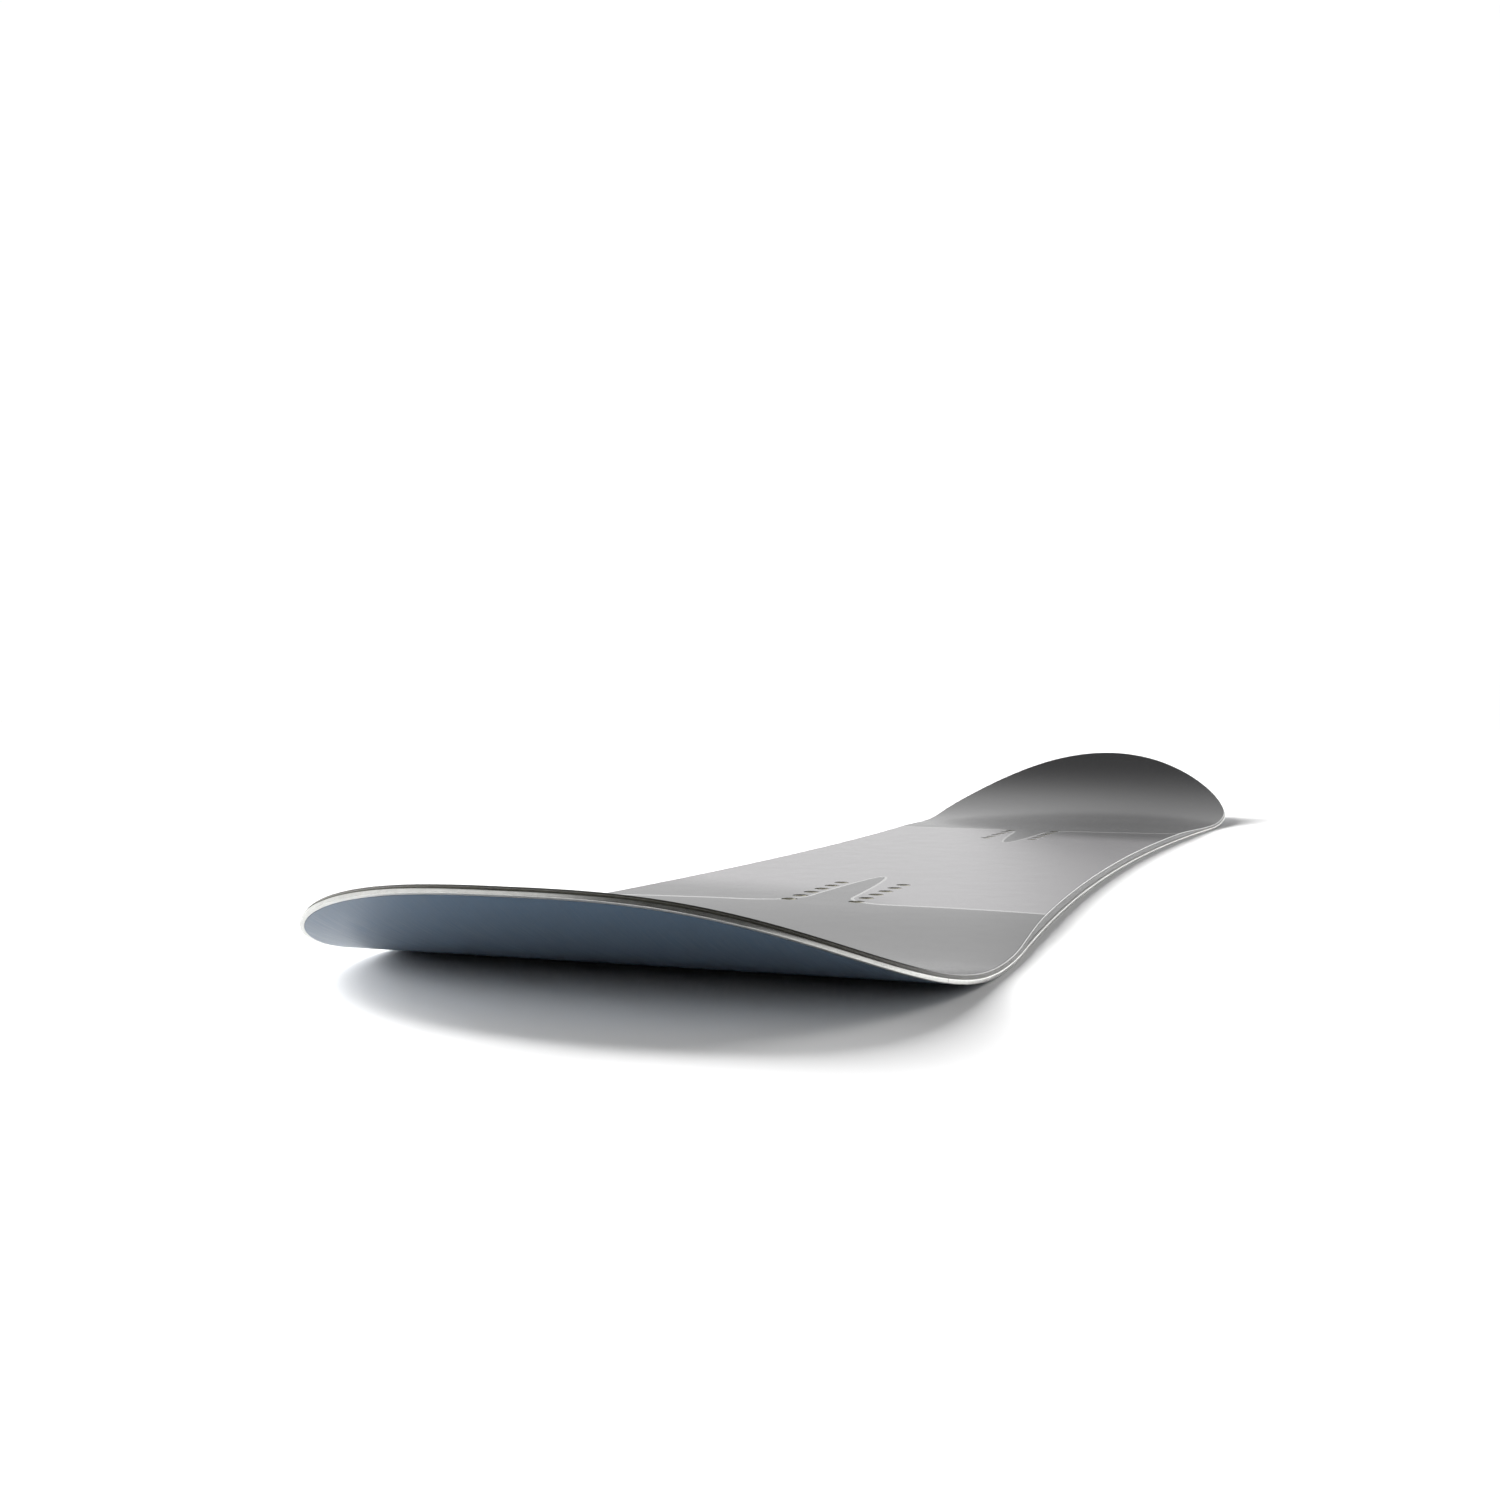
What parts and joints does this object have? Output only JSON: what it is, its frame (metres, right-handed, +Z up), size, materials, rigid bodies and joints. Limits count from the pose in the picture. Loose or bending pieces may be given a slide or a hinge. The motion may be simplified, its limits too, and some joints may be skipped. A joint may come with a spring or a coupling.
{
  "type": "snowboard",
  "caption": "Directional snowboard with upturned tips, sidecut, steel edges, slanted sidewalls, laminated wood core and threaded binding insert packs.",
  "frame": {"origin": "middle of the overall length and width, on the floor that the running base lies on", "axes": "+X along the board towards the nose, +Y to the left when looking at the nose, +Z up"},
  "size_m": [1.4496, 0.295, 0.0688],
  "materials": {
    "base_plastic": "sintered polyethylene, waxed satin, blue-grey",
    "edge_steel": "ground steel",
    "damping_rubber": "matt black foil",
    "glass_laminate": "cured glass cloth in epoxy",
    "core_wood": "planed poplar laths",
    "side_plastic": "milled grey plastic",
    "topsheet_film": "satin printed film, pale grey middle, mid grey tips, white pin lines",
    "insert_steel": "passivated steel with a faint brassy tint"
  },
  "bodies": {
    "root": {"base_sheet": "base_plastic", "steel_edge_left": "edge_steel", "steel_edge_right": "edge_steel", "steel_edge_tail": "edge_steel", "steel_edge_nose": "edge_steel", "lower_fibreglass": "glass_laminate", "damping_strip_left": "damping_rubber", "damping_strip_right": "damping_rubber", "sidewall_left": "side_plastic", "sidewall_right": "side_plastic", "tip_spacer_tail": "side_plastic", "tip_spacer_nose": "side_plastic", "core_lath_centre": "core_wood", "core_lath_left_1": "core_wood", "core_lath_left_2": "core_wood", "core_lath_left_3": "core_wood", "core_lath_left_4": "core_wood", "core_lath_left_outer": "core_wood", "core_lath_right_1": "core_wood", "core_lath_right_2": "core_wood", "core_lath_right_3": "core_wood", "core_lath_right_4": "core_wood", "core_lath_right_outer": "core_wood", "upper_fibreglass": "glass_laminate", "topsheet": "topsheet_film", "insert_rear_left_1": "insert_steel", "insert_rear_left_2": "insert_steel", "insert_rear_left_3": "insert_steel", "insert_rear_left_4": "insert_steel", "insert_rear_left_5": "insert_steel", "insert_rear_left_6": "insert_steel", "insert_rear_right_1": "insert_steel", "insert_rear_right_2": "insert_steel", "insert_rear_right_3": "insert_steel", "insert_rear_right_4": "insert_steel", "insert_rear_right_5": "insert_steel", "insert_rear_right_6": "insert_steel", "insert_front_left_1": "insert_steel", "insert_front_left_2": "insert_steel", "insert_front_left_3": "insert_steel", "insert_front_left_4": "insert_steel", "insert_front_left_5": "insert_steel", "insert_front_left_6": "insert_steel", "insert_front_right_1": "insert_steel", "insert_front_right_2": "insert_steel", "insert_front_right_3": "insert_steel", "insert_front_right_4": "insert_steel", "insert_front_right_5": "insert_steel", "insert_front_right_6": "insert_steel"}
  },
  "joints": []
}
